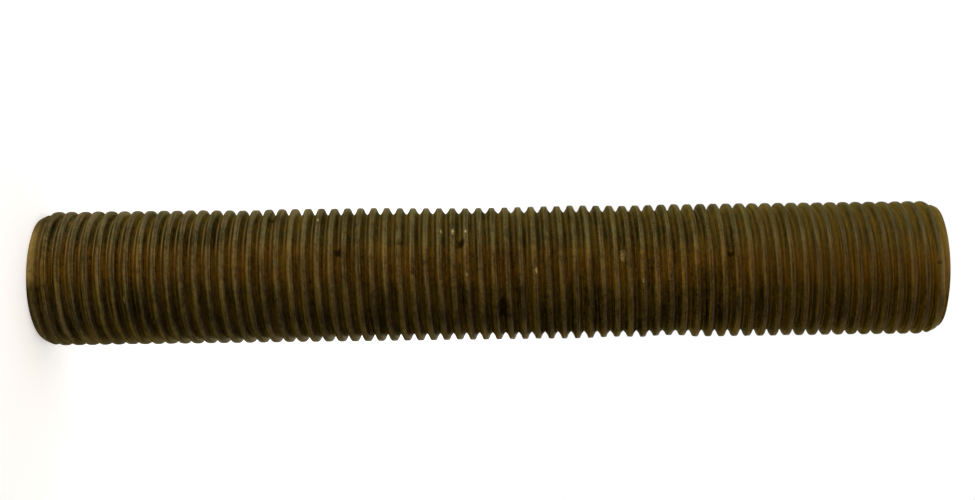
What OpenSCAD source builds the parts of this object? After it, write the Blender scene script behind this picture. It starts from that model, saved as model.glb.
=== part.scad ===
// Lamp nipple: a straight brass tube, threaded on the outside from end to end,
// that carries a lamp's wires through its bore while nuts and sockets screw onto it.
// Lengths are in millimetres. The tube stands on its lower end face, with its axis on Z.

/* [Thread] */
// Outside diameter over the crests of the thread
major_d = 9.6; // [8.8:0.1:14]
// Distance from one crest to the next: 27 threads to the inch is 0.94
thread_pitch = 0.94; // [0.7:0.02:1.6]
// Height of the ridge above the bottom of the groove
thread_depth = 0.5; // [0.3:0.02:0.6]
// Width of the flat at the bottom of the groove
root_flat_w = 0.1; // [0.04:0.01:0.25]
// Width of the flat along the top of the ridge
crest_flat_w = 0.36; // [0.05:0.01:0.4]
// Angle round the axis, from +X, at which the groove starts at the lower end face
thread_start = 342; // [0:1:359]

/* [Tube] */
// Length from end face to end face
tube_l = 64; // [12:0.5:120]
// Diameter of the wire way through the tube
bore_d = 6.6; // [3:0.1:7.2]

/* [Ends] */
// Length of the lead-in chamfer along the tube, at each end
chamfer_l = 0.9; // [0.3:0.05:2]
// How much the lead-in chamfer takes off the radius at the end face
chamfer_depth = 0.4; // [0.1:0.02:0.6]
// Size of the broken edge at each mouth of the wire way
bore_break = 0.2; // [0.05:0.05:0.3]

/* [Fineness] */
// Most triangles that the skin of the thread may take
thread_facets = 11900; // [6000:100:11900]
// Sides of the circle that the wire way is turned with
bore_sides = 96; // [24:8:128]

/* [Hidden] */

crest_r = major_d / 2;
root_r = crest_r - thread_depth;
end_r = crest_r - chamfer_depth;
bore_r = bore_d / 2;
flank_w = (thread_pitch - root_flat_w - crest_flat_w) / 2;
// How far the cutter of the wire way runs out past the end faces
runout = 1;

// One pitch of the thread as [height, radius]: groove, rising flank, crest, falling flank
thread_form = [
    [0, root_r],
    [root_flat_w, root_r],
    [root_flat_w + flank_w, crest_r],
    [thread_pitch - flank_w, crest_r],
    [thread_pitch, root_r]
];
bends = len(thread_form) - 1;

// The skin has one helical line for each bend of the form, from below the lower end to
// the first full turn above the upper end. Each turn has the same steps, in fours, so
// that the crests reach the full diameter on both axes.
turns = ceil(tube_l / thread_pitch) + 2;
lines = bends * turns;
steps = max(8, 4 * floor(thread_facets / (2 * bends * turns) / 4));
// A line that comes nearer than this to an end face is taken to end on it
least_rise = thread_pitch / steps / 3;

// Radius of the thread at a height, where it has come round by an angle
function thread_r(z, angle) =
    let (up = z - thread_pitch * (angle - thread_start) / 360)
    lookup(up - thread_pitch * floor(up / thread_pitch), thread_form);

// Radius of the cone that chamfers the nearer end
function chamfer_r(z) = end_r + chamfer_depth * min(z, tube_l - z) / chamfer_l;

// Height of a helical line at a step, where the ends aren't cut off square
function line_z(step, line) =
    thread_form[line % bends][0]
    + thread_pitch * (floor(line / bends) - 1 + step / steps - thread_start / 360);

// The same line once they are: what would lie past an end is line 0 or the last line,
// which run round the edges of the two end faces
function cut_line(step, line) =
    line_z(step, line) < least_rise ? 0
    : line_z(step, line) > tube_l - least_rise ? lines
    : line;

// A point of the skin
function skin_point(step, line) =
    let (
        angle = 360 * step / steps,
        z = max(0, min(tube_l, line_z(step, line))),
        r = min(thread_r(z, angle), chamfer_r(z))
    )
    [r * cos(angle), r * sin(angle), z];

// Number of that point: past the last step a line goes on a turn higher up
function point_no(step, line) =
    step == steps ? point_no(0, line + bends)
    : step * (lines + 1) + cut_line(step, line);

// Solid rod with the right-hand thread, its chamfered ends cut off square
module threaded_rod() {
    points = [for (step = [0:steps - 1], line = [0:lines]) skin_point(step, line)];
    skin = [
        for (step = [0:steps - 1], line = [0:lines - 1])
            let (
                a = point_no(step, line),
                b = point_no(step + 1, line),
                c = point_no(step + 1, line + 1),
                d = point_no(step, line + 1)
            )
            each [if (b != c) [a, c, b], if (a != d) [a, d, c]]
    ];
    lower_face = [for (step = [0:steps - 1]) point_no(step, 0)];
    upper_face = [for (step = [steps - 1:-1:0]) point_no(step, lines)];
    polyhedron(points, concat(skin, [lower_face, upper_face]), convexity = 10);
}

// What the wire way removes: the bore, opening out at both mouths
module wire_way() {
    mouth_r = bore_r + bore_break + runout;
    rotate_extrude($fn = bore_sides)
        polygon([
            [0, -runout],
            [mouth_r, -runout],
            [bore_r, bore_break],
            [bore_r, tube_l - bore_break],
            [mouth_r, tube_l + runout],
            [0, tube_l + runout]
        ]);
}

// The nipple, in one piece
module threaded_tube() {
    color("#6b5836")
        difference() {
            threaded_rod();
            wire_way();
        }
}

threaded_tube();
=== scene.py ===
"""Looks of a lamp nipple: an aged brass tube with a fine right-hand thread from end to end.

It is laid out as an add-on and is run as a script. Lengths are in metres, in the part's
own frame: the tube stands on its lower end, with its axis on Z. Its front is the -Y side.
"""

import math

import bpy
from mathutils import Matrix, Vector, noise


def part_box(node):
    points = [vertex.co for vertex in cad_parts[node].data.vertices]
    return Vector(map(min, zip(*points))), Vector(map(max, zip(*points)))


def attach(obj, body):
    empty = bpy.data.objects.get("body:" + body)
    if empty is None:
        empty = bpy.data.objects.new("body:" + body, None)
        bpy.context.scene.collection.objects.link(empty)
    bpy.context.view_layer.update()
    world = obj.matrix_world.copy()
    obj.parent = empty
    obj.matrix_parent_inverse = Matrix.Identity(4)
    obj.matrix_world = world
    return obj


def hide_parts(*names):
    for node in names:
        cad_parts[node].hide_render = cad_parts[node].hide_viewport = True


bl_info = {
    "name": "Lamp nipple",
    "version": (1, 0, 0),
    "blender": (4, 5, 0),
    "location": "View3D > Sidebar > Lamp nipple",
    "description": "Threaded brass tube with its aged finish, and the studio it is shown in",
    "category": "Add Mesh",
}

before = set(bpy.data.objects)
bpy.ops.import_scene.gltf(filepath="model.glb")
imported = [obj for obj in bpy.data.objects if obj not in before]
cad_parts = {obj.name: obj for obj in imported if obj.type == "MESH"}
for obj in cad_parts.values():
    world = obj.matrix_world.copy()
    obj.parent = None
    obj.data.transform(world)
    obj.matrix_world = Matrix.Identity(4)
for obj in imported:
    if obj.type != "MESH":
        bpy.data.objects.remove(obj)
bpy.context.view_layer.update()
TUBE_LOW, TUBE_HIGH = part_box("threaded_tube")
MM = 0.001
# Keeps the rounded form just inside the plain one
HAIR = 0.002 * MM
# How far the edge of a chamfer wanders in and out
CHAMFER_RAGGED = 0.04 * MM
# How far inside the bottom of the groove a ring of points divides each end face
LAND_INSET = 0.05 * MM
# Bands of faces along the wire way
BORE_BANDS = 16
# How far below the top of the crests the marks of use are laid, in mm
MARKS_BELOW_CREST = 0.15

# Marks of use: height above the lower end in mm, angle round from +X in degrees, reach in mm
DARK_SPOTS = (
    (16.8, 207, 0.5),
    (21.5, 250, 0.42),
    (25.7, 243, 0.3),
    (26.7, 268, 0.25),
    (30.0, 243, 0.45),
    (32.8, 299, 0.6),
    (32.9, 309, 0.6),
    (48.7, 256, 0.26),
    (63.2, 266, 0.2),
)
BRIGHT_NICKS = (
    (41.2, 256.5, 0.6),
    (35.2, 268, 0.3),
    (42.6, 278, 0.2),
    (6.7, 289, 0.35),
    (19.9, 216, 0.22),
    (28.6, 231, 0.28),
    (29.4, 232, 0.3),
    (30.3, 232, 0.22),
    (30.4, 271, 0.2),
)
# Dents in the crests: the same, and the depth in mm
DENTS = (
    (31.0, 180, 7.0, 0.09),
    (41.5, 180, 3.5, 0.06),
    (44.7, 350, 2.2, 0.16),
    (41.0, 0, 2.0, 0.08),
    (35.1, 268, 0.5, 0.12),
    (14.0, 200, 3.0, 0.06),
)


# ---------------------------------------------------------------- sizes and colours


class NippleThread(bpy.types.PropertyGroup):
    """Form of the tube and its thread"""

    pitch: bpy.props.FloatProperty(
        name="Pitch",
        description="Distance from one crest to the next",
        default=0.94 * MM,
        unit="LENGTH",
        precision=5,
    )
    depth: bpy.props.FloatProperty(
        name="Depth",
        description="Height of the ridge above the bottom of the groove",
        default=0.5 * MM,
        unit="LENGTH",
        precision=5,
    )
    root_flat: bpy.props.FloatProperty(
        name="Groove flat",
        description="Width of the flat at the bottom of the groove",
        default=0.06 * MM,
        unit="LENGTH",
        precision=5,
    )
    crest_flat: bpy.props.FloatProperty(
        name="Crest flat",
        description="Width of the flat along the top of the ridge",
        default=0.34 * MM,
        unit="LENGTH",
        precision=5,
    )
    foot_width: bpy.props.FloatProperty(
        name="Foot width",
        description="Width of the flatter foot of each flank",
        default=0.15 * MM,
        unit="LENGTH",
        precision=5,
    )
    foot_height: bpy.props.FloatProperty(
        name="Foot height",
        description="How far each foot rises above the bottom of the groove",
        default=0.2 * MM,
        unit="LENGTH",
        precision=5,
    )
    rounding: bpy.props.FloatProperty(
        name="Rounding",
        description="How far each corner of the thread's form is rounded off",
        default=0.07 * MM,
        unit="LENGTH",
        precision=5,
    )
    start: bpy.props.FloatProperty(
        name="Start",
        description="Angle round the axis from +X at which the groove starts at the lower end",
        default=math.radians(342.0),
        subtype="ANGLE",
    )
    chamfer_length: bpy.props.FloatProperty(
        name="Chamfer length",
        description="Length of the lead-in chamfer along the tube",
        default=0.9 * MM,
        unit="LENGTH",
        precision=5,
    )
    chamfer_depth: bpy.props.FloatProperty(
        name="Chamfer depth",
        description="How much the lead-in chamfer takes off the radius at the end face",
        default=0.4 * MM,
        unit="LENGTH",
        precision=5,
    )
    bore: bpy.props.FloatProperty(
        name="Bore",
        description="Diameter of the wire way",
        default=6.6 * MM,
        unit="LENGTH",
        precision=5,
    )
    bore_break: bpy.props.FloatProperty(
        name="Bore edge",
        description="Size of the broken edge at each mouth of the wire way",
        default=0.2 * MM,
        unit="LENGTH",
        precision=5,
    )
    wear: bpy.props.FloatProperty(
        name="Wear",
        description="How far the crests are worn and bruised out of true",
        default=0.045 * MM,
        unit="LENGTH",
        precision=5,
    )
    steps: bpy.props.IntProperty(
        name="Steps",
        description="Steps in one turn of the thread",
        default=84,
        min=24,
        max=96,
    )


class NippleFinish(bpy.types.PropertyGroup):
    """Colours and gloss of the aged brass"""

    # Also the colour of the painted highlights on the crest edges and of the painted glint in the
    # groove
    crest: bpy.props.FloatVectorProperty(
        name="Crest",
        description="Rubbed brass on top of the ridges",
        default=(0.089, 0.067, 0.026),
        subtype="COLOR",
    )
    flank: bpy.props.FloatVectorProperty(
        name="Flank",
        description="Dark brown brass of the flanks",
        default=(0.096, 0.063, 0.006),
        subtype="COLOR",
    )
    groove: bpy.props.FloatVectorProperty(
        name="Groove",
        description="Brown brass at the bottom of the groove",
        default=(0.118, 0.085, 0.014),
        subtype="COLOR",
    )
    # On the +X side this colour also paints in the greyer tone of the shaded side
    dust: bpy.props.FloatVectorProperty(
        name="Dust",
        description="Dust that dulls the ridges on the +X side and lies on the first turns",
        default=(0.088, 0.066, 0.036),
        subtype="COLOR",
    )
    # Along the front this colour also paints in a warm reflection
    rust_and_warm_reflection: bpy.props.FloatVectorProperty(
        name="Red brown",
        description="Patches of the crests where the brass has turned red brown",
        default=(0.175, 0.080, 0.010),
        subtype="COLOR",
    )
    verdigris: bpy.props.FloatVectorProperty(
        name="Green",
        description="Patches where the brass has a dull green bloom",
        default=(0.055, 0.060, 0.020),
        subtype="COLOR",
    )
    grime: bpy.props.FloatVectorProperty(
        name="Grime",
        description="Old oil and dust that has settled on the thread",
        default=(0.018, 0.012, 0.004),
        subtype="COLOR",
    )
    # Also the colour of the painted highlight on the chamfers
    cut: bpy.props.FloatVectorProperty(
        name="Cut brass",
        description="Cleaner brass of the chamfers and end faces",
        default=(0.24, 0.175, 0.055),
        subtype="COLOR",
    )
    nick: bpy.props.FloatVectorProperty(
        name="Nicks",
        description="Bare brass where the thread has been nicked",
        default=(0.46, 0.37, 0.18),
        subtype="COLOR",
    )
    rim: bpy.props.FloatVectorProperty(
        name="Rim",
        description="Colour that the brass turns to where it is seen at a glancing angle",
        default=(0.70, 0.66, 0.50),
        subtype="COLOR",
    )
    metal: bpy.props.FloatProperty(
        name="Metal",
        description="How much bare metal shows through the brown skin",
        default=0.65,
        min=0.0,
        max=1.0,
    )
    flank_metal: bpy.props.FloatProperty(
        name="Metal in the flanks",
        description="How much bare metal shows through the skin on the flanks",
        default=0.35,
        min=0.0,
        max=1.0,
    )
    # Its share along the front is partly a painted warm reflection
    red_share: bpy.props.FloatProperty(
        name="Red brown share",
        description="How far the brass along the -Y side has turned red brown",
        default=0.6,
        min=0.0,
        max=1.0,
    )
    crest_roughness: bpy.props.FloatProperty(
        name="Crest roughness",
        description="Roughness of the rubbed brass",
        default=0.34,
        min=0.0,
        max=1.0,
    )
    groove_roughness: bpy.props.FloatProperty(
        name="Groove roughness",
        description="Roughness of the brown brass",
        default=0.48,
        min=0.0,
        max=1.0,
    )


class NippleStudio(bpy.types.PropertyGroup):
    """Camera and lamps"""

    camera_distance: bpy.props.FloatProperty(
        name="Camera distance",
        description="From the camera to the tube's axis",
        default=108.9 * MM,
        unit="LENGTH",
        precision=4,
    )
    camera_height: bpy.props.FloatProperty(
        name="Camera height",
        description="How far along the tube from its lower end the camera stands",
        default=34.5 * MM,
        unit="LENGTH",
        precision=4,
    )
    aim_side: bpy.props.FloatProperty(
        name="Aim, to the side",
        description="How far beside the axis the camera looks, towards -X",
        default=1.6 * MM,
        unit="LENGTH",
        precision=4,
    )
    aim_height: bpy.props.FloatProperty(
        name="Aim, height",
        description="How far along the tube the camera looks",
        default=36.0 * MM,
        unit="LENGTH",
        precision=4,
    )
    tilt: bpy.props.FloatProperty(
        name="Tilt",
        description="How far the tube's upper end is tipped up in the view",
        default=math.radians(0.75),
        subtype="ANGLE",
    )
    lens: bpy.props.FloatProperty(
        name="Lens",
        description="Focal length in millimetres, on a sensor 36 mm wide",
        default=55.7,
        min=1.0,
    )
    shift: bpy.props.FloatProperty(
        name="Shift",
        description="Sideways shift of the lens, as a share of the sensor's width",
        default=-0.0608,
    )
    key_watts: bpy.props.FloatProperty(
        name="Key lamp",
        description="Power of the large soft lamp on the tube's -X side, in watts",
        default=0.45,
        min=0.0,
    )
    room_level: bpy.props.FloatProperty(
        name="Room",
        description="Brightness of the white room",
        default=1.0,
        min=0.0,
    )


# ---------------------------------------------------------------- form of the tube


def rounded_corner(before, corner, after, reach):
    """Three points that round a corner of the thread's form, from edge to edge."""
    corner, before, after = Vector(corner), Vector(before), Vector(after)
    start = corner + (before - corner).normalized() * min(reach, (before - corner).length * 0.4)
    end = corner + (after - corner).normalized() * min(reach, (after - corner).length * 0.4)
    return [start, (start + end) / 4 + corner / 2, end]


# Which of a rounded corner's three points the skin keeps
GROOVE_CORNER, FOOT_CORNER, CREST_CORNER = (1,), (0, 2), (0, 1, 2)


def thread_form(thread, crest_r):
    """One pitch of the thread, as points (height, radius) from the groove upwards.

    Each flank is steep near the crest and spreads into a flatter foot, and the two feet
    meet in the narrow flat of the groove.
    """
    root_r = crest_r - thread.depth
    middle = thread.root_flat / 2
    foot = (middle + thread.foot_width, root_r + thread.foot_height)
    half_crest = thread.crest_flat / 2
    half = thread.pitch / 2
    rising = [(middle, root_r), foot, (half - half_crest, crest_r)]
    corners = [*rising, *[(thread.pitch - z, r) for z, r in reversed(rising)]]
    kept = [GROOVE_CORNER, FOOT_CORNER, CREST_CORNER, CREST_CORNER, FOOT_CORNER, GROOVE_CORNER]
    below = (corners[-1][0] - thread.pitch, corners[-1][1])
    above = (corners[0][0] + thread.pitch, corners[0][1])
    form = [Vector((0.0, root_r))]
    for before, corner, after, keep in zip([below, *corners], corners, [*corners[1:], above], kept):
        turned = rounded_corner(before, corner, after, thread.rounding)
        form += [turned[i] for i in keep]
        if corner is rising[-1]:
            form.append(Vector((half, crest_r)))
    return [point + Vector((middle, 0.0)) for point in form]


def form_radius(form, pitch, up):
    """Radius of the thread at a height above the start of its groove."""
    up = (up - form[0].x) % pitch + form[0].x
    for a, b in zip(form, form[1:] + [form[0] + Vector((pitch, 0.0))]):
        if up <= b.x:
            return a.y + (b.y - a.y) * (up - a.x) / (b.x - a.x)
    return form[0].y


class TubeShape:
    """Numbers the points of the thread's skin and says where each one lies.

    Helical lines run up the thread, as many to a pitch as its form has bends. They are
    crossed by the steps, which stand round the axis from +X.
    """

    def __init__(self, thread):
        self.thread = thread
        self.length = TUBE_HIGH.z - TUBE_LOW.z
        self.crest_r = (TUBE_HIGH.x - TUBE_LOW.x) / 2 - HAIR
        self.form = thread_form(thread, self.crest_r)
        self.bends = len(self.form)
        self.steps = thread.steps
        turns = math.ceil(self.length / thread.pitch) + 3
        self.start_turn = thread.start / (2 * math.pi)
        self.lines = self.bends * turns
        # A line that comes nearer than this to an end face stops there, so no sliver is left
        self.least_rise = thread.pitch / self.steps / 3

    def angle(self, step):
        """Angle of a step round from +X."""
        return 2 * math.pi * step / self.steps

    def line_z(self, step, line):
        """Height of a helical line at a step, where the ends aren't cut off."""
        turn, bend = divmod(line, self.bends)
        turns_up = turn - 1 - self.start_turn + step / self.steps
        return self.form[bend].x + self.thread.pitch * turns_up

    def cut_line(self, step, line):
        """The line, or the edge of the end face that it is cut off at."""
        z = self.line_z(step, line)
        if z < self.least_rise:
            return 0
        if z > self.length - self.least_rise:
            return self.lines
        return line

    def plain_radius(self, step, line, z):
        """Radius of the new thread where a line has come round to a step."""
        if self.cut_line(step, line) == line and 0 < line < self.lines:
            return self.form[line % self.bends].y
        early = step / self.steps - self.start_turn
        return form_radius(self.form, self.thread.pitch, z - self.thread.pitch * early)

    def radius(self, step, line, z):
        """The same radius, worn, dented and chamfered."""
        thread = self.thread
        angle = self.angle(step)
        r = self.plain_radius(step, line, z)
        spot = Vector((math.cos(angle) * r, math.sin(angle) * r, z)) / MM
        # The share of the ridge's height: nothing is worn at the bottom of the groove
        height = (r - self.crest_r + thread.depth) / thread.depth
        bruise = noise.noise(spot * 0.9) + 0.5 * noise.noise(spot * 2.3 + Vector((7, 3, 5)))
        r -= thread.wear * max(0.0, bruise) * height
        for dent_height, dent_angle, reach, depth in DENTS:
            away = (spot - Vector(on_crest(dent_height, dent_angle))).length / reach
            r -= depth * MM * height * max(0.0, 1 - away * away)
        to_end = min(z, self.length - z)
        ragged = CHAMFER_RAGGED * noise.noise(spot * 0.6 + Vector((1, 8, 2)))
        cone = (
            self.crest_r
            - thread.chamfer_depth
            + ragged
            + thread.chamfer_depth * to_end / thread.chamfer_length
        )
        return min(r, cone)

    def point(self, step, line):
        """Where a line crosses a step, on the worn skin."""
        z = min(self.length, max(0.0, self.line_z(step, line)))
        if line == 0:
            z = 0.0
        if line == self.lines:
            z = self.length
        r = self.radius(step, line, z)
        angle = self.angle(step)
        return Vector((r * math.cos(angle), r * math.sin(angle), TUBE_LOW.z + z))

    def number(self, step, line):
        """The (step, line) of a point: past the last step it goes on a turn higher up."""
        if step == self.steps:
            step, line = 0, min(line + self.bends, self.lines)
        return step, self.cut_line(step, line)


class TubeSkin:
    """The points and faces of the nipple's whole skin, as they are laid."""

    def __init__(self, thread):
        self.thread = thread
        self.shape = TubeShape(thread)
        self.points, self.faces = [], []
        self.numbers = {}

    def corner(self, step, line):
        """Number of the point where a line crosses a step, laid when it is first asked for."""
        key = self.shape.number(step, line)
        if key not in self.numbers:
            self.numbers[key] = len(self.points)
            self.points.append(self.shape.point(*key))
        return self.numbers[key]

    def lay_thread(self):
        """The thread and its chamfers, from the edge of one end face to that of the other."""
        for step in range(self.shape.steps):
            for line in range(self.shape.lines):
                ring = [
                    self.corner(step, line),
                    self.corner(step + 1, line),
                    self.corner(step + 1, line + 1),
                    self.corner(step, line + 1),
                ]
                corners = [c for i, c in enumerate(ring) if c != ring[i - 1]]
                if len(corners) > 2:
                    self.faces.append(corners)

    def end_edge(self, line):
        """The points round the edge of the end face at the first or the last line."""
        return [self.corner(step, line) for step in range(self.shape.steps)]

    def circle(self, r, z):
        """A ring of new points round the axis."""
        first = len(self.points)
        for step in range(self.shape.steps):
            angle = self.shape.angle(step)
            self.points.append(Vector((r * math.cos(angle), r * math.sin(angle), z)))
        return range(first, len(self.points))

    def lay_end_faces_and_bore(self):
        """From the lower edge over the lower face, up the wire way and out to the upper edge."""
        thread, shape = self.thread, self.shape
        bore_r, edge = thread.bore / 2, thread.bore_break
        land_r = shape.crest_r - thread.depth - LAND_INSET
        low, high = TUBE_LOW.z, TUBE_HIGH.z
        rings = [self.end_edge(0)]
        rings.append(self.circle(land_r, low))
        rings.append(self.circle(bore_r + edge, low))
        rings.append(self.circle(bore_r + edge / 3, low + edge / 3))
        for i in range(BORE_BANDS + 1):
            z = low + edge + (high - low - 2 * edge) * i / BORE_BANDS
            rings.append(self.circle(bore_r, z))
        rings.append(self.circle(bore_r + edge / 3, high - edge / 3))
        rings.append(self.circle(bore_r + edge, high))
        rings.append(self.circle(land_r, high))
        rings.append(self.end_edge(shape.lines))
        for outer, inner in zip(rings, rings[1:]):
            for step in range(shape.steps):
                after = (step + 1) % shape.steps
                self.faces.append([outer[after], outer[step], inner[step], inner[after]])


def tube_mesh(thread):
    """The nipple's skin: its thread, and the end faces and wire way in a material of their own."""
    skin = TubeSkin(thread)
    skin.lay_thread()
    thread_faces = len(skin.faces)
    skin.lay_end_faces_and_bore()
    mesh = bpy.data.meshes.new("threaded_tube_skin")
    mesh.from_pydata([point[:] for point in skin.points], [], skin.faces)
    mesh.validate()
    mesh.shade_smooth()
    for face in mesh.polygons[thread_faces:]:
        face.material_index = 1
    return mesh


# ---------------------------------------------------------------- finishes


class Graph:
    """Short calls that build a material's nodes.

    A value is a plain number or the socket that another call gave.
    """

    def __init__(self, name):
        self.material = bpy.data.materials.new(name)
        self.material.use_nodes = True
        self.tree = self.material.node_tree
        self.shader = self.tree.nodes["Principled BSDF"]

    def put(self, socket, value):
        """Link a socket to a value, or set it on it."""
        if isinstance(value, bpy.types.NodeSocket):
            self.tree.links.new(value, socket)
        else:
            socket.default_value = value

    def paint(self, values):
        """Put values on the shader, by the names of its sockets."""
        for name, value in values.items():
            self.put(self.shader.inputs[name], value)

    def math(self, operation, *values, clamp=False):
        """One plain sum."""
        node = self.tree.nodes.new("ShaderNodeMath")
        node.operation, node.use_clamp = operation, clamp
        for socket, value in zip(node.inputs, values):
            self.put(socket, value)
        return node.outputs[0]

    def plus(self, value, *more):
        """All the values added up."""
        for added in more:
            value = self.math("ADD", value, added)
        return value

    def minus(self, value, taken):
        """A value with another taken from it."""
        return self.math("SUBTRACT", value, taken)

    def times(self, value, *more):
        """All the values multiplied."""
        for factor in more:
            value = self.math("MULTIPLY", value, factor)
        return value

    def higher(self, a, b):
        """The higher of two values."""
        return self.math("MAXIMUM", a, b)

    def noise(self, vector, scale, detail=2.0, roughness=0.5, w=None):
        """Noise from about 0 to 1. A w of its own makes it another noise."""
        node = self.tree.nodes.new("ShaderNodeTexNoise")
        node.noise_dimensions = "3D" if w is None else "4D"
        self.put(node.inputs["Vector"], vector)
        self.put(node.inputs["Scale"], scale)
        self.put(node.inputs["Detail"], detail)
        self.put(node.inputs["Roughness"], roughness)
        if w is not None:
            self.put(node.inputs["W"], w)
        return node.outputs["Fac"]

    def span(self, value, low, high, to_low=0.0, to_high=1.0):
        """value from low to high, smoothly, becomes to_low to to_high."""
        node = self.tree.nodes.new("ShaderNodeMapRange")
        node.interpolation_type = "SMOOTHSTEP"
        for socket, number in zip(node.inputs, (value, low, high, to_low, to_high)):
            self.put(socket, number)
        return node.outputs[0]

    def blend(self, share, at_none, at_full):
        """at_none where the share is 0, at_full where it is 1."""
        return self.span(share, 0.0, 1.0, at_none, at_full)

    def mix(self, share, a, b):
        """Colour a where the share is 0, colour b where it is 1."""
        node = self.tree.nodes.new("ShaderNodeMix")
        node.data_type = "RGBA"
        self.put(node.inputs["Factor"], share)
        self.put(node.inputs[6], a)
        self.put(node.inputs[7], b)
        return node.outputs[2]

    def scale_colour(self, colour, factor):
        """A colour (or a vector) times a factor."""
        node = self.tree.nodes.new("ShaderNodeVectorMath")
        node.operation = "SCALE"
        self.put(node.inputs[0], colour)
        self.put(node.inputs["Scale"], factor)
        return node.outputs[0]

    def distance(self, a, b):
        """How far apart two places are."""
        node = self.tree.nodes.new("ShaderNodeVectorMath")
        node.operation = "DISTANCE"
        self.put(node.inputs[0], a)
        self.put(node.inputs[1], b)
        return node.outputs["Value"]

    def vector(self, *values):
        """A vector of an x, a y and a z."""
        node = self.tree.nodes.new("ShaderNodeCombineXYZ")
        for socket, value in zip(node.inputs, values):
            self.put(socket, value)
        return node.outputs[0]

    def apart(self, vector):
        """The x, y and z of a vector."""
        node = self.tree.nodes.new("ShaderNodeSeparateXYZ")
        self.put(node.inputs[0], vector)
        return node.outputs

    def coordinates(self, kind):
        """Where the shaded point is, in coordinates of a kind."""
        return self.tree.nodes.new("ShaderNodeTexCoord").outputs[kind]

    def bump(self, height, distance):
        """A normal that shows a height from 0 to 1 as if it were that far out."""
        node = self.tree.nodes.new("ShaderNodeBump")
        self.put(node.inputs["Height"], height)
        self.put(node.inputs["Distance"], distance)
        self.put(node.inputs["Strength"], 1.0)
        return node.outputs[0]


class TubeGraph(Graph):
    """A graph that knows where it is on the tube, in millimetres from its lower end and axis."""

    def __init__(self, name):
        super().__init__(name)
        self.spot = self.scale_colour(self.coordinates("Object"), 1 / MM)
        self.x, self.y, self.z = self.apart(self.spot)
        square = self.plus(self.times(self.x, self.x), self.times(self.y, self.y))
        self.radius = self.math("SQRT", square)
        to_top = self.minus((TUBE_HIGH.z - TUBE_LOW.z) / MM, self.z)
        self.to_end = self.math("MINIMUM", self.z, to_top)

    def along(self, low, high, to_low=0.0, to_high=1.0):
        """From one value to another between two heights above the lower end."""
        return self.span(self.z, low, high, to_low, to_high)


class ThreadGraph(TubeGraph):
    """A graph that knows the turns of the thread, and the noises that all its wear goes by.

    round_x and round_y are the cosine and sine of the angle round from +X.
    """

    def __init__(self, thread):
        super().__init__("aged_brass_thread")
        self.round_x = self.math("DIVIDE", self.x, self.radius)
        self.round_y = self.math("DIVIDE", self.y, self.radius)
        self.pitch = thread.pitch / MM
        # Turns of the thread below here: a whole number at the bottom of the groove
        height = self.minus(self.z, thread.root_flat / 2 / MM)
        angle = self.minus(self.math("ARCTAN2", self.y, self.x), thread.start)
        self.turn = self.minus(
            self.math("DIVIDE", height, self.pitch), self.math("DIVIDE", angle, 2 * math.pi)
        )
        self.cloud = self.noise(self.spot, 0.35, detail=3.0, roughness=0.6)
        self.fleck = self.noise(self.spot, 3.2, detail=4.0, roughness=0.65)
        self.grain = self.noise(self.spot, 9.0, detail=2.0, roughness=0.6)
        # Edges of all stripes and marks wander by this, in mm
        self.ragged = self.times(self.minus(self.fleck, 0.5), 0.12)
        # Fine lines that the die drew along the thread, changing slowly round each turn
        across = self.minus(self.math("FRACT", self.turn), 0.5)
        drawn = self.vector(self.times(across, 10.0), self.round_x, self.round_y)
        self.lines = self.noise(drawn, 1.3, detail=2.0, roughness=0.6, w=self.times(self.z, 1.3))
        # No two turns are alike
        slow = self.vector(self.times(self.x, 0.25), self.times(self.y, 0.25), self.times(self.z, 0.9))
        self.each_turn = self.minus(self.noise(slow, 1.0, detail=1.0, w=17.0), 0.5)
        # Towards the upper end the finish grows more even
        self.even = self.along(43.0, 56.0)
        # How high above the bottom of the groove the crest is rubbed: higher towards +X, where the
        # painted crest is moved to follow how the light falls on the crests
        self.crest_height = self.plus(
            self.around(-0.2, 0.4, self.pitch / 2 + 0.06, self.pitch / 2 + 0.15),
            self.times(self.each_turn, 0.12),
        )
        self.crest = self.rubbed_crest()
        self.bottom = self.stripe(self.along(3.0, 25.0, 0.03, 0.09), 0.05, 0.06)

    def around(self, low, high, to_low=0.0, to_high=1.0):
        """From one value to another between two places round the tube, given as round_x."""
        return self.span(self.round_x, low, high, to_low, to_high)

    def beside(self, middle):
        """How far round_x is from a middle, on either side of it."""
        return self.math("ABSOLUTE", self.minus(self.round_x, middle))

    def stripe(self, above_groove, half_width, soft):
        """A stripe that runs along the thread, at a height in mm above the groove's bottom."""
        lift = self.math("DIVIDE", above_groove, self.pitch)
        away = self.math("FRACT", self.minus(self.plus(self.turn, 0.5), lift))
        away = self.times(self.minus(away, 0.5), self.pitch)
        away = self.plus(self.math("ABSOLUTE", away), self.ragged)
        return self.span(away, half_width - soft, half_width + soft, 1.0, 0.0)

    def rubbed_crest(self):
        """Share of rubbed brass, in a stripe a little above the middle of the crest."""
        crest = self.stripe(self.crest_height, 0.185, 0.05)
        # Towards the upper end the crests are rubbed down over their lower edge as well
        lower = self.stripe(self.minus(self.crest_height, 0.09), 0.185, 0.05)
        crest = self.higher(crest, self.times(lower, self.even))
        # The crests are painted duller in the first turns, over more of them on the +X side
        dull = self.times(self.along(4.0, 14.0, 0.45, 0.0), self.around(0.5, 0.8))
        dull = self.higher(dull, self.along(1.0, 4.0, 0.45, 0.0))
        return self.times(crest, self.minus(1.0, dull))


def colour(values):
    """A colour as a shader's socket holds it."""
    return (*values, 1.0)


def on_crest(height, angle):
    """Point on the crests at a height in mm and an angle in degrees round from +X, in mm."""
    r = (TUBE_HIGH.x - TUBE_LOW.x) / 2 / MM - MARKS_BELOW_CREST
    turned = math.radians(angle)
    return (r * math.cos(turned), r * math.sin(turned), height)


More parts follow.
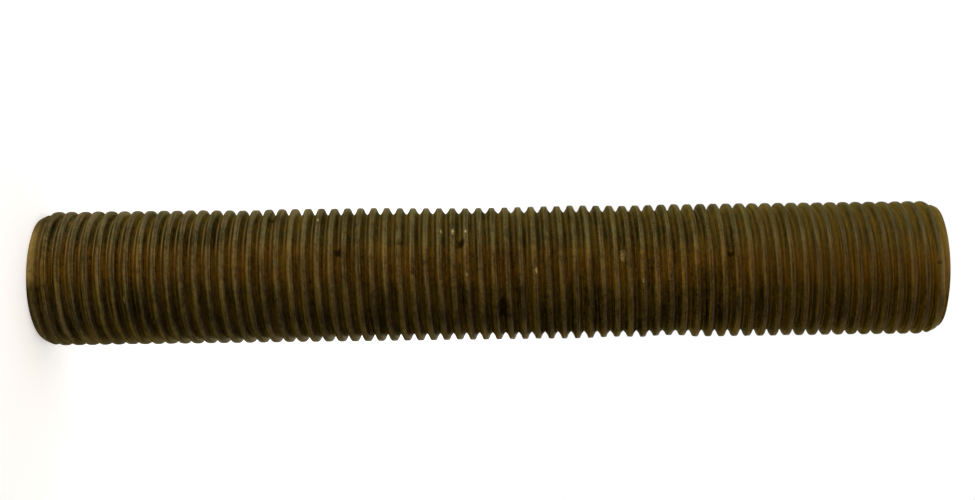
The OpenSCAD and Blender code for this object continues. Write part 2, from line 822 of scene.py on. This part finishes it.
def brown_skin(g, finish):
    """Brass that has gone brown: flanks, rubbed crests, the bottom of the groove and dust, with
    painted light and shade by side.
    """
    # Painted light: the flanks are painted palest in a band on the lit -X side of the front, in the
    # first turns and the last
    band = g.beside(g.along(2.0, 12.0, -0.32, -0.22))
    pale = g.span(band, 0.1, 0.4, g.along(2.0, 12.0, 1.4, 1.25), 1.0)
    pale = g.plus(pale, g.times(g.along(4.0, 9.0, 0.14, 0.0), g.around(0.0, 0.3, 1.0, 0.0)))
    pale = g.plus(pale, g.along(62.2, 62.8, 0.0, 0.25))
    # Towards the upper end the flanks are painted paler, so crests and flanks look more alike
    upper = g.along(34.0, 62.0)
    flank = g.scale_colour(finish.flank, g.plus(pale, g.times(upper, 0.7)))
    # Painted light: the crests are painted brightest on the +X side of the front; near the lower end
    # they are painted darker on the +X side, a painted shade, and a little lighter on the -X side
    rubbed = g.times(g.span(g.beside(0.3), 0.1, 0.35, 1.35, 1.0), g.span(upper, 0.4, 1.0, 1.0, 0.8))
    light_and_shade_near_foot = g.times(g.along(5.0, 15.0, 1.0, 0.0), g.around(-0.2, 0.3, 0.1, -0.38))
    rubbed = g.times(rubbed, g.plus(light_and_shade_near_foot, 1.0))
    # The dust colour dulls them on the +X side, partly dust and partly the greyer tone of the shaded
    # side painted in, and near the lower end on the -X side too
    dust_and_shade_tone = g.times(g.around(-0.85, -0.6, 1.0, 0.0), g.along(8.0, 25.0, 1.0, 0.0))
    dust_and_shade_tone = g.higher(dust_and_shade_tone, g.around(0.3, 0.8))
    crest_tint = g.mix(dust_and_shade_tone, colour(finish.crest), colour(finish.dust))
    tint = g.mix(g.crest, flank, g.scale_colour(crest_tint, rubbed))
    tint = g.mix(g.bottom, tint, colour(finish.groove))
    # In the first turns it lies over all of the thread, but not along the front, and it is painted
    # lighter towards the lit -X side
    lying = g.times(g.along(1.5, 6.0, 0.4, 0.0), g.span(g.beside(0.0), 0.15, 0.45))
    return g.mix(lying, tint, g.scale_colour(finish.dust, g.around(-0.7, -0.2, 1.45, 1.15)))


def aged_skin(g, finish, tint):
    """Red brown along the front, partly tarnish and partly a painted warm reflection; dull green where
    there is little of it, and flecks of grime.
    """
    # A band along the front that drifts towards +X up the tube: the red brown in it is partly a
    # painted warm reflection
    front = g.beside(g.minus(g.times(g.z, 0.0045), 0.25))
    front = g.times(g.span(front, 0.15, 0.4, 1.0, 0.0), g.span(g.round_y, -0.8, -0.6, 1.0, 0.0))
    red = g.noise(g.spot, 0.7, detail=4.0, roughness=0.7, w=3.0)
    red = g.span(red, 0.35, 0.65, g.blend(g.even, 0.15, 0.8), 1.0)
    red = g.times(red, front, g.blend(g.even, 1.0, 0.7), g.blend(g.crest, 1.0, 0.3))
    tint = g.mix(g.times(red, finish.red_share), tint, colour(finish.rust_and_warm_reflection))
    green = g.noise(g.spot, 1.3, detail=4.0, roughness=0.7, w=11.0)
    green = g.times(
        g.span(green, 0.45, 0.58),
        g.span(red, 0.0, 0.3, 0.7, 0.0),
        g.blend(g.crest, 1.0, 0.6),
        g.blend(g.even, 1.0, 0.4),
        g.around(-0.5, 0.0, 1.0, 0.4),
    )
    tint = g.mix(green, tint, g.scale_colour(finish.verdigris, g.blend(g.crest, 0.8, 1.3)))
    dirty = g.span(g.plus(g.fleck, g.cloud), 1.15, 1.4, 0.0, 0.6)
    return g.mix(dirty, tint, colour(finish.grime))


def drawn_skin(g, tint):
    """Light and dark over the skin, first of all the die's lines."""
    # They are deepest in the first turns
    level = g.span(g.lines, 0.3, 0.7, g.along(3.0, 14.0, 0.35, 0.6), g.along(3.0, 14.0, 1.65, 1.4))
    middle = g.stripe(g.crest_height, 0.06, 0.06)
    for share, factor in (
        (g.each_turn, g.blend(g.even, 1.9, 0.7)),
        (g.minus(g.cloud, 0.5), g.blend(g.even, 1.0, 0.4)),
        (g.minus(g.fleck, 0.5), g.blend(g.even, 2.2, 1.1)),
        (g.minus(g.grain, 0.5), g.blend(g.even, 1.6, 1.0)),
        # Painted shade: towards +X it is darker under each crest
        (g.times(g.stripe(0.21, 0.14, 0.06), g.around(-0.1, 0.5)), -0.35),
        # The last turns are a little paler
        (g.along(59.0, 62.0), 0.08),
        # The middle of the crests is duller than their edges
        (g.times(middle, g.around(-0.55, -0.1, 0.35, 1.0)), g.along(5.0, 25.0, -0.35, -0.08)),
    ):
        level = g.plus(level, g.times(share, factor))
    return g.scale_colour(tint, g.higher(level, g.blend(g.crest, 0.2, 0.5)))


def rubbed_edges_and_glints(g, finish, tint):
    """Brass rubbed bright on the crest's two edges, partly painted highlights, and a painted glint at
    the bottom of the groove on the lit -X side, where brass shows.
    """
    bright = g.span(g.fleck, 0.3, 0.7, 0.75, 1.25)
    worn = g.span(g.noise(g.spot, 1.1, detail=3.0, w=7.0), 0.4, 0.65)
    # Painted highlights along the crest's edges, partly rubbed brass; the lower edge only on the lit
    # -X side
    low_edge_wear_and_glint = g.times(g.stripe(g.pitch / 2 - 0.07, 0.04, 0.03), g.around(-0.1, 0.3, 1.0, 0.0))
    high_edge_wear_and_glint = g.stripe(g.plus(g.crest_height, 0.12), 0.03, 0.03)
    edges = g.times(
        g.higher(low_edge_wear_and_glint, high_edge_wear_and_glint),
        worn,
        g.along(10.0, 55.0, 1.0, 0.2),
        g.around(0.1, 0.4, 1.0, g.along(6.0, 14.0, 0.3, 1.0)),
    )
    tint = g.mix(edges, tint, g.scale_colour(finish.crest, g.times(bright, 1.8)))
    # Painted glint at the bottom of the groove on the lit -X side, brightest near the lower end
    groove_glint = g.times(g.bottom, g.around(-0.5, 0.3, 1.0, 0.0), g.along(5.0, 45.0, 0.95, 0.35))
    glint_level = g.span(g.beside(-0.6), 0.1, 0.4, 4.1, 2.7)
    return g.mix(groove_glint, tint, g.scale_colour(finish.crest, g.times(bright, glint_level)))


def cleaned_ends_and_highlight(g, finish, tint):
    """Cleaner brass on the chamfers, most of it along the front, where it is partly a painted
    highlight.
    """
    # Each value goes from the lower end's to the upper end's
    front = g.beside(g.along(20.0, 40.0, -0.35, 0.0))
    front = g.span(g.plus(front, g.ragged), 0.25, 0.55, 1.0, g.along(20.0, 40.0, 0.1, 0.15))
    full, none = g.along(20.0, 40.0, 0.6, 0.4), g.along(20.0, 40.0, 1.0, 0.8)
    cleaned_and_highlight = g.times(
        g.span(g.to_end, full, none, 1.0, 0.0),
        front,
        g.span(g.fleck, 0.3, 0.6, 0.5, 1.0),
        g.along(20.0, 40.0, 1.0, 0.7),
    )
    # The very edge of the lower end is painted brighter still, a painted highlight
    return g.mix(cleaned_and_highlight, tint, g.scale_colour(finish.cut, g.along(0.15, 0.5, 1.7, 1.0)))


def single_marks(g, finish, tint):
    """Dark spots, which are round, and nicks, which are drawn out along the thread.

    The larger a mark is, the more its edge wanders.
    """
    crest_r = on_crest(0.0, 0.0)[0]
    for marks, paint, strength, narrow in (
        (DARK_SPOTS, finish.grime, g.blend(g.crest, 0.9, 0.6), 1.0),
        (BRIGHT_NICKS, finish.nick, g.span(g.grain, 0.42, 0.56, 0.25, 1.0), 2.4),
    ):
        laid = g.vector(
            g.times(g.round_x, crest_r), g.times(g.round_y, crest_r), g.times(g.z, narrow)
        )
        for height, angle, reach in marks:
            away = g.distance(laid, on_crest(height * narrow, angle))
            away = g.plus(away, g.times(g.ragged, 11.0 * reach))
            marked = g.times(g.span(away, reach * 0.4, reach, 1.0, 0.0), strength)
            tint = g.mix(marked, tint, colour(paint))
    return tint


def thread_brass(thread, finish):
    """Aged brass of the thread: rubbed crests, brown flanks and groove, dirt and single marks, with
    painted light, shade and reflection on its crests, flanks, groove and chamfers.
    """
    g = ThreadGraph(thread)
    tint = aged_skin(g, finish, brown_skin(g, finish))
    tint = rubbed_edges_and_glints(g, finish, drawn_skin(g, tint))
    tint = single_marks(g, finish, cleaned_ends_and_highlight(g, finish, tint))
    roughness = g.blend(g.crest, finish.groove_roughness, finish.crest_roughness)
    relief = g.plus(g.lines, g.times(g.fleck, 0.5))
    g.paint(
        {
            "Base Color": tint,
            "Metallic": g.blend(g.crest, finish.flank_metal, finish.metal),
            "Specular Tint": colour(finish.rim),
            "Specular IOR Level": 0.0,
            "Roughness": g.plus(roughness, g.span(g.fleck, 0.3, 0.7, -0.06, 0.08)),
            "Normal": g.bump(relief, 0.015 * MM),
        }
    )
    return g.material


def cut_brass(finish):
    """Turned end faces and the inside of the wire way."""
    g = TubeGraph("aged_brass_cut")
    fleck = g.noise(g.spot, 2.4, detail=4.0, roughness=0.6)
    cloud = g.noise(g.spot, 0.5, detail=3.0)
    tool = g.noise(g.vector(g.radius, g.z, 0.0), 9.0, detail=2.0)
    inside = g.span(g.to_end, 0.2, 3.0)
    tint = g.mix(inside, colour(finish.cut), colour(finish.groove))
    tint = g.mix(g.span(cloud, 0.5, 0.75), tint, colour(finish.crest))
    level = g.plus(g.span(tool, 0.3, 0.7, 0.75, 1.1), g.times(g.minus(fleck, 0.5), 0.4))
    g.paint(
        {
            "Base Color": g.scale_colour(tint, level),
            "Metallic": finish.metal,
            "Specular Tint": colour(finish.rim),
            "Roughness": g.span(fleck, 0.3, 0.7, 0.36, 0.5),
            "Normal": g.bump(g.plus(tool, fleck), 0.01 * MM),
        }
    )
    return g.material


# ---------------------------------------------------------------- studio

WHITE = (1.0, 1.0, 1.0)
FLOOR_SIZE = 6.0
FLOOR_COLOUR = (0.85, 0.85, 0.85)
# Light that the floor adds to what the camera sees of it, and to what the brass mirrors
FLOOR_SEEN, FLOOR_MIRRORED = 0.5, 0.35
KEY_PLACE = (-0.3, -0.35, 0.06)
KEY_SIZE = (0.3, 0.3)
KEY_TINT = (1.0, 0.8, 0.5)

# Cards that the brass mirrors and the camera doesn't see: name, place, width and height, the
# way it faces, and its colour or the two colours that run into each other up the card
CARDS = (
    (
        "dark_card",
        (0.024, -0.03, 0.0625),
        (0.06, 0.12),
        (-1, 0, 0),
        ((0.165, 0.155, 0.14), (0.46, 0.37, 0.28)),
    ),
    ("far_card", (0.035, 0.03, 0.066), (0.06, 0.12), (-1, 0, 0), ((0.95, 0.88, 0.78),)),
    ("grey_card", (0.14, -0.36, 0.25), (0.28, 0.5), (0, 1, 0), ((0.34, 0.29, 0.25),)),
    ("warm_card", (-0.25, -0.36, 0.25), (0.5, 0.5), (0, 1, 0), ((0.9, 0.60, 0.28),)),
)


def flat_card(name, centre, size, facing):
    """A plain flat card of the studio, marked as no part of the nipple."""
    mesh = bpy.data.meshes.new(name)
    w, h = size[0] / 2, size[1] / 2
    mesh.from_pydata([(-w, -h, 0), (w, -h, 0), (w, h, 0), (-w, h, 0)], [], [(0, 1, 2, 3)])
    card = bpy.data.objects.new(name, mesh)
    card.location = centre
    card.rotation_mode = "QUATERNION"
    card.rotation_quaternion = Vector(facing).to_track_quat("Z", "Y")
    bpy.context.scene.collection.objects.link(card)
    return card


def matt_paint(name, low, high=None):
    """Matt paint of one colour, or of two that run into each other up the card."""
    g = Graph(name)
    tint = colour(low)
    if high is not None:
        up = g.span(g.apart(g.coordinates("Generated"))["Y"], 0.1, 0.9)
        tint = g.mix(up, tint, colour(high))
    g.paint({"Base Color": tint, "Roughness": 0.9, "Specular IOR Level": 0.0})
    return g


def floor_paint():
    """White floor: the camera and the brass see it lifted to white, and it keeps its shadows."""
    g = matt_paint("floor_white", FLOOR_COLOUR)
    path = g.tree.nodes.new("ShaderNodeLightPath").outputs
    mirrored = g.math("ADD", path["Is Glossy Ray"], path["Is Transmission Ray"], clamp=True)
    seen = g.times(path["Is Camera Ray"], FLOOR_SEEN)
    lift = g.plus(seen, g.times(mirrored, FLOOR_MIRRORED))
    g.paint({"Emission Color": colour(WHITE), "Emission Strength": lift})
    return g.material


def soft_lamp(name, place, target, size, watts, tint):
    """A flat soft lamp, turned to face a target."""
    data = bpy.data.lights.new(name, "AREA")
    data.shape = "RECTANGLE"
    data.size, data.size_y = size
    data.energy = watts
    data.color = tint
    lamp = bpy.data.objects.new(name, data)
    lamp.location = place
    lamp.rotation_mode = "QUATERNION"
    lamp.rotation_quaternion = (Vector(target) - Vector(place)).to_track_quat("-Z", "Y")
    bpy.context.scene.collection.objects.link(lamp)


def set_camera(studio):
    """The camera beside the tube, turned so that the tube lies across the view."""
    data = bpy.data.cameras.new("camera")
    data.lens = studio.lens
    data.sensor_width = 36.0
    data.shift_x = studio.shift
    data.clip_start, data.clip_end = 0.005, 50.0
    camera = bpy.data.objects.new("camera", data)
    place = Vector((0.0, -studio.camera_distance, TUBE_LOW.z + studio.camera_height))
    aim = Vector((-studio.aim_side, 0.0, TUBE_LOW.z + studio.aim_height))
    look = (aim - place).normalized()
    # The tube's upper end is to the right
    right = (Vector((0.0, 0.0, 1.0)) - look * look.z).normalized()
    right = Matrix.Rotation(studio.tilt, 3, look) @ right
    up = right.cross(look)
    turn = Matrix((right, up, -look)).transposed()
    camera.matrix_world = Matrix.Translation(place) @ turn.to_4x4()
    bpy.context.scene.collection.objects.link(camera)
    bpy.context.scene.camera = camera


def set_room(level):
    """A white room all round, at a brightness where 1 is white."""
    world = bpy.data.worlds.new("room")
    world.use_nodes = True
    background = world.node_tree.nodes["Background"]
    background.inputs["Color"].default_value = colour(WHITE)
    background.inputs["Strength"].default_value = level
    bpy.context.scene.world = world


# ---------------------------------------------------------------- operators and panel


class NIPPLE_OT_add_tube(bpy.types.Operator):
    """Build the threaded tube with its aged brass finish"""

    bl_idname = "nipple.add_tube"
    bl_label = "Threaded tube"

    def execute(self, context):
        thread, finish = context.scene.nipple_thread, context.scene.nipple_finish
        mesh = tube_mesh(thread)
        mesh.materials.append(thread_brass(thread, finish))
        mesh.materials.append(cut_brass(finish))
        tube = bpy.data.objects.new("threaded_tube_skin", mesh)
        context.scene.collection.objects.link(tube)
        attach(tube, "root")
        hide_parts("threaded_tube")
        return {"FINISHED"}


class NIPPLE_OT_set_stage(bpy.types.Operator):
    """Set the floor, the lamps, the room and the camera"""

    bl_idname = "nipple.set_stage"
    bl_label = "Studio"

    def execute(self, context):
        studio = context.scene.nipple_studio
        middle = Vector((0.0, 0.0, (TUBE_LOW.z + TUBE_HIGH.z) / 2))
        floor = flat_card("floor", (0.0, 0.0, TUBE_LOW.z), (FLOOR_SIZE, FLOOR_SIZE), (0, 0, 1))
        floor.data.materials.append(floor_paint())
        for name, place, size, facing, colours in CARDS:
            card = flat_card(name, place, size, facing)
            card.data.materials.append(matt_paint(name, *colours).material)
            card.visible_camera = False
        soft_lamp("key_lamp", KEY_PLACE, middle, KEY_SIZE, studio.key_watts, KEY_TINT)
        set_room(studio.room_level)
        set_camera(studio)
        context.scene.view_settings.view_transform = "Standard"
        return {"FINISHED"}


class NIPPLE_PT_panel(bpy.types.Panel):
    """Sizes, finish and studio of the lamp nipple"""

    bl_label = "Lamp nipple"
    bl_idname = "NIPPLE_PT_panel"
    bl_space_type = "VIEW_3D"
    bl_region_type = "UI"
    bl_category = "Lamp nipple"

    def draw(self, context):
        scene = context.scene
        for group in (scene.nipple_thread, scene.nipple_finish, scene.nipple_studio):
            box = self.layout.box()
            for name in group.__annotations__:
                box.prop(group, name)
        self.layout.operator(NIPPLE_OT_add_tube.bl_idname)
        self.layout.operator(NIPPLE_OT_set_stage.bl_idname)


GROUPS = {
    "nipple_thread": NippleThread,
    "nipple_finish": NippleFinish,
    "nipple_studio": NippleStudio,
}
CLASSES = (*GROUPS.values(), NIPPLE_OT_add_tube, NIPPLE_OT_set_stage, NIPPLE_PT_panel)


def register():
    for cls in CLASSES:
        bpy.utils.register_class(cls)
    for name, group in GROUPS.items():
        setattr(bpy.types.Scene, name, bpy.props.PointerProperty(type=group))


def unregister():
    for name in GROUPS:
        delattr(bpy.types.Scene, name)
    for cls in reversed(CLASSES):
        bpy.utils.unregister_class(cls)


def main():
    """Build the tube and its studio."""
    register()
    bpy.ops.nipple.add_tube()
    bpy.ops.nipple.set_stage()


if __name__ == "__main__":
    main()
